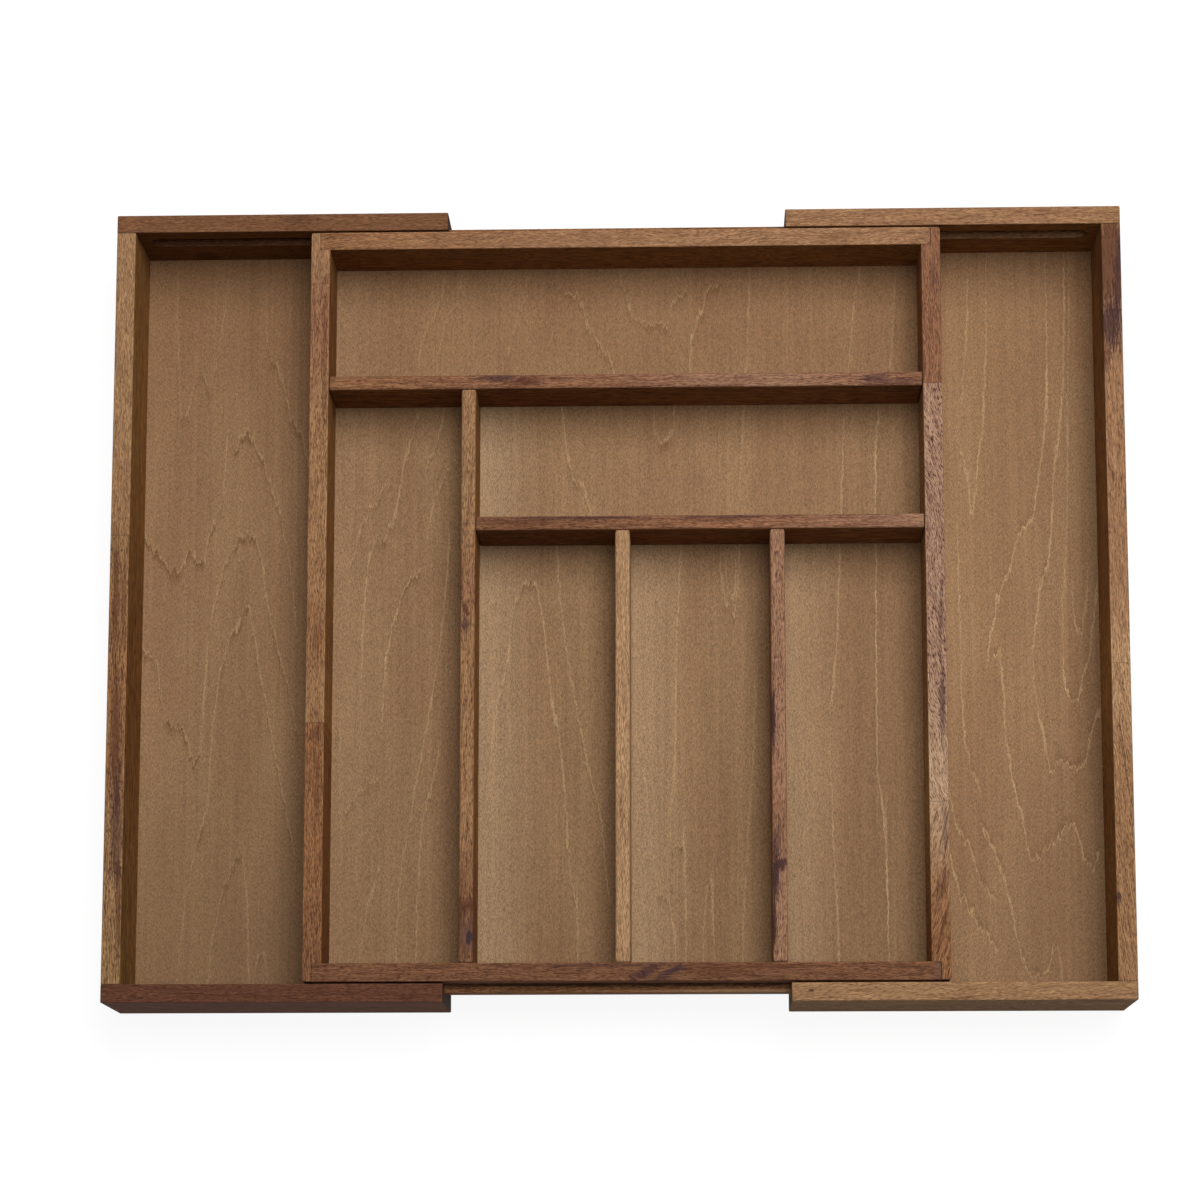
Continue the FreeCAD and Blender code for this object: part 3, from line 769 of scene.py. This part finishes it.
def plywood(node, veneer, seed):
    """Stained plywood: toothed rings, short fibres and specks on its faces, and layers on its edges"""
    graph = Graph("plywood_" + node)
    point = graph.place()
    x, y, z = point

    # Each ring is a pale line with a brown band on one side. Where it turns, it breaks into teeth along the
    # fibres.
    teeth = y + (graph.noise(point, TOOTH, seed) - NOISE_MIDDLE) * TOOTH_REACH
    swayed = x + (graph.noise(point, SWAY, seed) - NOISE_MIDDLE) * RING_SWAY
    pale = 0.0
    brown = 0.0
    for ring in veneer.rings:
        first, last = ring.points[0][0], ring.points[-1][0]
        here = graph.curve(swayed, ring.points)
        steepness = (graph.curve(swayed + RING_STEP, ring.points) - here) / RING_STEP
        level = teeth - here
        run = graph.math("SQRT", graph.math("MULTIPLY_ADD", steepness, steepness, 1.0))
        reach = graph.rise(swayed, first, first + RING_FADE) * graph.rise(swayed, last, last - RING_FADE)
        line = graph.rise(abs(level) / run, *LINE_EDGES)
        away = level * veneer.brown_side
        band = graph.rise(away, BAND_WIDTH, 0) * (away > 0)
        pale = graph.math("MAXIMUM", line * reach * ring.strength, pale)
        brown = graph.math("MAXIMUM", band * reach * ring.strength, brown)

    mottle = graph.noise(point, MOTTLE, seed)
    vein = graph.noise(point, VEIN, seed)
    fibre = graph.noise(point, PLY_FIBRE, seed)
    speck = graph.noise(point, SPECK, seed)
    breaks = graph.noise(point, BREAK, seed)

    colour = graph.tint(mottle, PLY_LIGHT, PLY_DARK)
    # Warmer and darker towards the rear: partly the stain, partly painted shade near the rear walls
    rearward = graph.rise(y, *REAR_REACH)
    colour = graph.tint(rearward * veneer.warmth_and_shade, colour, PLY_REAR)
    # Painted light: the floor is paler just right of some boards
    for board, share in veneer.painted_light_beside:
        side, rear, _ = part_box(board)[1] / MM
        painted_light = graph.rise(x, side + PAINTED_LIGHT_REACH, side) * (x > side) * (rear - y > 0)
        colour = graph.tint(painted_light * share, colour, PLY_PAINTED_LIGHT)
    band_share = brown * (1 - BAND_BREAKS + breaks * BAND_BREAKS)
    line_share = pale * (1 - LINE_BREAKS + breaks * LINE_BREAKS - rearward * REAR_FADE)
    colour = graph.tint(band_share * veneer.brown, colour, PLY_BROWN)
    colour = graph.tint(line_share * veneer.pale, colour, PLY_LINE)
    # Painted shade: the floor darkens towards the front
    lightness = (1 - graph.rise(y, *PAINTED_SHADE_REACH) * veneer.front_painted_shade) * veneer.lightness
    colour = graph.shade(colour, (fibre * PLY_FIBRE_GAIN + vein * VEIN_GAIN - STAIN_DROP) * lightness)
    colour = graph.tint(speck * SPECK_SHARE, colour, PLY_BROWN)

    start, end = (share * PLY_LAYER for share in LAYER_TURN)
    layer = graph.rise(graph.math("PINGPONG", z, PLY_LAYER), start, end)
    edge = graph.tint(layer, PLY_LIGHT, PLY_EDGE_DARK)
    flat = graph.rise(abs(graph.normal()[2]), *FLAT_SPAN)
    colour = graph.tint(flat, edge, colour)

    roughness = fibre * PLY_FIBRE_ROUGHNESS + PLY_ROUGHNESS
    height = fibre * PLY_FIBRE_RELIEF - speck * SPECK_RELIEF + PLY_LEVEL
    return graph.finish(colour, roughness, height, PLY_RELIEF)


def dress(node, material):
    """Gives a node its material in every slot"""
    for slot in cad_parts[node].material_slots:
        slot.material = material


def add_object(name, data):
    thing = bpy.data.objects.new(name, data)
    bpy.context.scene.collection.objects.link(thing)
    return thing


def seen_rays(tree):
    """1 for the rays by which a surface is seen: straight, mirrored or through glass"""
    path = tree.nodes.new("ShaderNodeLightPath")
    total = path.outputs["Is Camera Ray"]
    for name in ("Is Glossy Ray", "Is Transmission Ray"):
        larger = tree.nodes.new("ShaderNodeMath")
        larger.operation = "MAXIMUM"
        tree.links.new(total, larger.inputs[0])
        tree.links.new(path.outputs[name], larger.inputs[1])
        total = larger.outputs[0]
    return total


def mixed(tree, share, first, second):
    """Two shaders mixed, with this share of the second one"""
    mix = tree.nodes.new("ShaderNodeMixShader")
    tree.links.new(share, mix.inputs[0])
    tree.links.new(first.outputs[0], mix.inputs[1])
    tree.links.new(second.outputs[0], mix.inputs[2])
    return mix.outputs[0]


def grey_shader(tree, kind, grey):
    node = tree.nodes.new(kind)
    node.inputs["Color"].default_value = (grey, grey, grey, 1)
    return node


def far_glow(tree):
    """The floor's glow, which rises to full white far from the tray"""
    place = tree.nodes.new("ShaderNodeNewGeometry")
    distance = tree.nodes.new("ShaderNodeVectorMath")
    distance.operation = "LENGTH"
    tree.links.new(place.outputs["Position"], distance.inputs[0])
    glow = tree.nodes.new("ShaderNodeMapRange")
    limits = {"From Min": FLOOR_FAR[0], "From Max": FLOOR_FAR[1], "To Min": FLOOR_GLOW, "To Max": 1.0}
    for name, limit in limits.items():
        glow.inputs[name].default_value = limit
    tree.links.new(distance.outputs["Value"], glow.inputs["Value"])
    return glow.outputs[0]


def add_floor():
    """A white floor that glows where it is seen, so that only the tray's shadow shows on it"""
    half = FLOOR_SIZE / 2
    outline = ((-half, -half), (half, -half), (half, half), (-half, half))
    corners = [(x, y, -FLOOR_DROP) for x, y in outline]
    mesh = bpy.data.meshes.new("floor")
    mesh.from_pydata(corners, [], [(0, 1, 2, 3)])
    material = bpy.data.materials.new("floor_white")
    material.use_nodes = True
    tree = material.node_tree
    tree.nodes.clear()
    lit = grey_shader(tree, "ShaderNodeBsdfDiffuse", FLOOR_WHITE)
    shadow = grey_shader(tree, "ShaderNodeBsdfDiffuse", FLOOR_SHADOW)
    glow = grey_shader(tree, "ShaderNodeEmission", 1.0)
    tree.links.new(far_glow(tree), glow.inputs["Strength"])
    total = tree.nodes.new("ShaderNodeAddShader")
    tree.links.new(shadow.outputs[0], total.inputs[0])
    tree.links.new(glow.outputs[0], total.inputs[1])
    output = tree.nodes.new("ShaderNodeOutputMaterial")
    tree.links.new(mixed(tree, seen_rays(tree), lit, total), output.inputs["Surface"])
    mesh.materials.append(material)
    add_object("floor", mesh)


def add_lamp(name, lamp):
    data = bpy.data.lights.new(name, "AREA")
    data.shape = "RECTANGLE"
    data.size = lamp.width
    data.size_y = lamp.depth
    data.energy = lamp.power
    box = add_object(name, data)
    box.location = lamp.place
    box.rotation_euler = (Vector(lamp.aim) - Vector(lamp.place)).to_track_quat("-Z", "Y").to_euler()
    box.visible_camera = False


def add_room():
    """Faint light from all round, from a room that is white where it is seen"""
    world = bpy.data.worlds.new("studio")
    world.use_nodes = True
    tree = world.node_tree
    tree.nodes.clear()
    room = grey_shader(tree, "ShaderNodeBackground", ROOM_LIGHT)
    white = grey_shader(tree, "ShaderNodeBackground", 1.0)
    output = tree.nodes.new("ShaderNodeOutputWorld")
    tree.links.new(mixed(tree, seen_rays(tree), room, white), output.inputs["Surface"])
    bpy.context.scene.world = world


def add_camera():
    data = bpy.data.cameras.new("camera")
    data.lens = CAMERA_LENS
    data.shift_y = CAMERA_SHIFT
    camera = add_object("camera", data)
    camera.location = CAMERA_PLACE
    camera.rotation_euler = (CAMERA_TILT, CAMERA_LEAN, 0)
    bpy.context.scene.camera = camera


for number, (name, board) in enumerate(BOARDS.items()):
    dress(name, acacia(name, board, number))
for number, (name, veneer) in enumerate(FLOORS.items()):
    dress(name, plywood(name, veneer, number))
add_floor()
for name, lamp in LAMPS.items():
    add_lamp(name, lamp)
add_room()
add_camera()
bpy.context.scene.view_settings.view_transform = "Standard"
